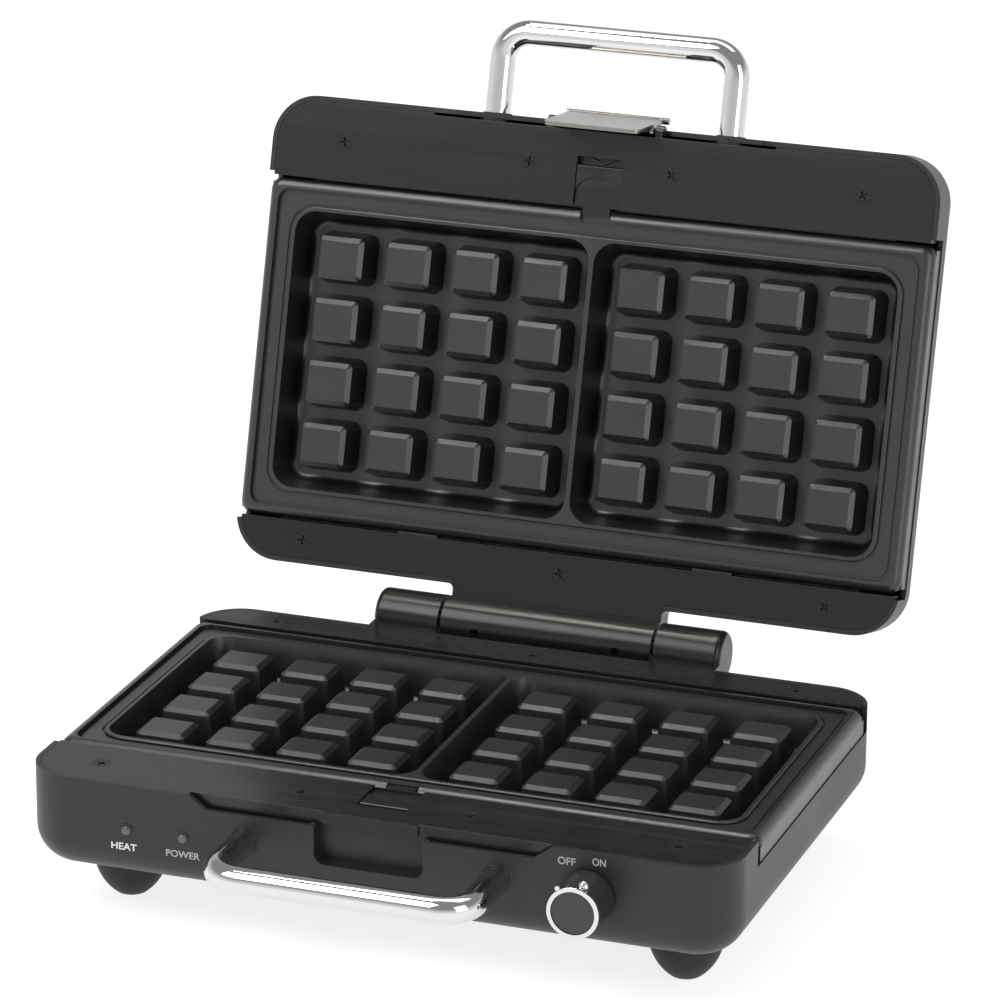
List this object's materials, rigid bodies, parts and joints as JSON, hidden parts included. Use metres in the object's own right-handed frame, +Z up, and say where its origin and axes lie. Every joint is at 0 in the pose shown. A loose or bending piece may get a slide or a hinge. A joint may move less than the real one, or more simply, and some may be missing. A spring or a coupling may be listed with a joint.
{
  "type": "waffle maker",
  "caption": "Electric waffle maker standing open: rounded black body, hinged lid, waffle plates with raised square cells, bar handles, a rocking latch, a control knob and round feet.",
  "frame": {"origin": "middle of the standing outline, on the surface that the feet stand on, with the lid open", "axes": "+X to the right of someone facing the knob, +Y from the handles to the hinge at the back, +Z up"},
  "size_m": [0.27, 0.315, 0.2789],
  "materials": {
    "black_shell": "satin black, finely textured",
    "brushed_rail": "dark brushed metal, brushed along its length",
    "coated_plate": "dark grey non-stick coating, satin",
    "chrome_bar": "polished chrome",
    "latch_metal": "polished chrome",
    "knob_black": "smooth black",
    "black_rubber": "matt black rubber",
    "screw_steel": "zinc-plated",
    "heat_lens": "clear green, unlit",
    "power_lens": "clear red, unlit",
    "lamp_glass": "clear glass",
    "black_plastic": "plain black",
    "board_brown": "brown circuit board",
    "heater_sheath": "heat-darkened steel",
    "tray_sheet": "plain sheet steel",
    "spring_steel": "plain spring steel",
    "white_ceramic": "pale heat-proof moulding"
  },
  "bodies": {
    "base": {"lower_plate": "coated_plate", "lower_heater": "heater_sheath", "lower_reflector_tray": "tray_sheet", "lower_tray_screws": "screw_steel", "lower_heater_cradles": "tray_sheet", "lower_thermal_fuse": "tray_sheet", "lower_fuse_clip": "spring_steel", "lower_release_spring": "spring_steel", "base_shell": "black_shell", "base_front_rail": "brushed_rail", "base_rear_rail": "brushed_rail", "base_rail_screws": "screw_steel", "lower_thermostat": "white_ceramic", "lower_handle": "chrome_bar", "lower_handle_bushes": "black_plastic", "lower_handle_bolts": "screw_steel", "rotary_switch": "white_ceramic", "switch_nut": "screw_steel", "heat_lamp_lens": "heat_lens", "power_lamp_lens": "power_lens", "lamp_bezels": "chrome_bar", "neon_lamps": "lamp_glass", "lamp_board": "board_brown", "foot_front_right": "black_rubber", "foot_rear_right": "black_rubber", "foot_front_left": "black_rubber", "foot_rear_left": "black_rubber", "foot_screws": "screw_steel", "terminal_block": "white_ceramic", "cord_gland": "black_plastic", "gland_nut": "black_plastic"},
    "lid": {"upper_plate": "coated_plate", "upper_heater": "heater_sheath", "upper_reflector_tray": "tray_sheet", "upper_tray_screws": "screw_steel", "upper_heater_cradles": "tray_sheet", "upper_thermal_fuse": "tray_sheet", "upper_fuse_clip": "spring_steel", "upper_release_spring": "spring_steel", "lid_shell": "black_shell", "lid_front_rail": "brushed_rail", "lid_rear_rail": "brushed_rail", "lid_rail_screws": "screw_steel", "hinge_pins": "screw_steel", "barrel_screws": "screw_steel", "upper_handle": "chrome_bar", "upper_handle_bushes": "black_plastic", "upper_handle_bolts": "screw_steel", "latch_pin": "screw_steel", "latch_spring": "spring_steel"},
    "latch": {"latch": "latch_metal"},
    "knob": {"knob_shaft": "screw_steel", "knob_body": "knob_black", "knob_bead": "chrome_bar", "knob_ring": "chrome_bar", "knob_face": "knob_black"},
    "lower_tab": {"lower_release_tab": "brushed_rail"},
    "upper_tab": {"upper_release_tab": "brushed_rail"}
  },
  "joints": [
    {"name": "lid_hinge", "type": "hinge", "parent": "base", "child": "lid", "pos_m": [0, 0.07656, 0.0574], "axis": [-1, 0, 0], "range_deg": [-106.24, 0]},
    {"name": "latch_rock", "type": "hinge", "parent": "lid", "child": "latch", "pos_m": [0, 0.13544, 0.2445], "axis": [-1, 0, 0], "range_deg": [-8, 9], "deforming": ["latch_spring"]},
    {"name": "knob_turn", "type": "hinge", "parent": "base", "child": "knob", "pos_m": [0.0824, -0.12034, 0.04105], "axis": [0, 1, 0], "range_deg": [0, 60]},
    {"name": "lower_tab_slide", "type": "slide", "parent": "base", "child": "lower_tab", "axis": [0, -1, 0], "range_m": [0, 0.003], "stiffness_N_per_m": 300, "deforming": ["lower_release_spring"]},
    {"name": "upper_tab_slide", "type": "slide", "parent": "lid", "child": "upper_tab", "axis": [0, 0.2797, 0.9601], "range_m": [0, 0.003], "stiffness_N_per_m": 300, "deforming": ["upper_release_spring"]}
  ]
}
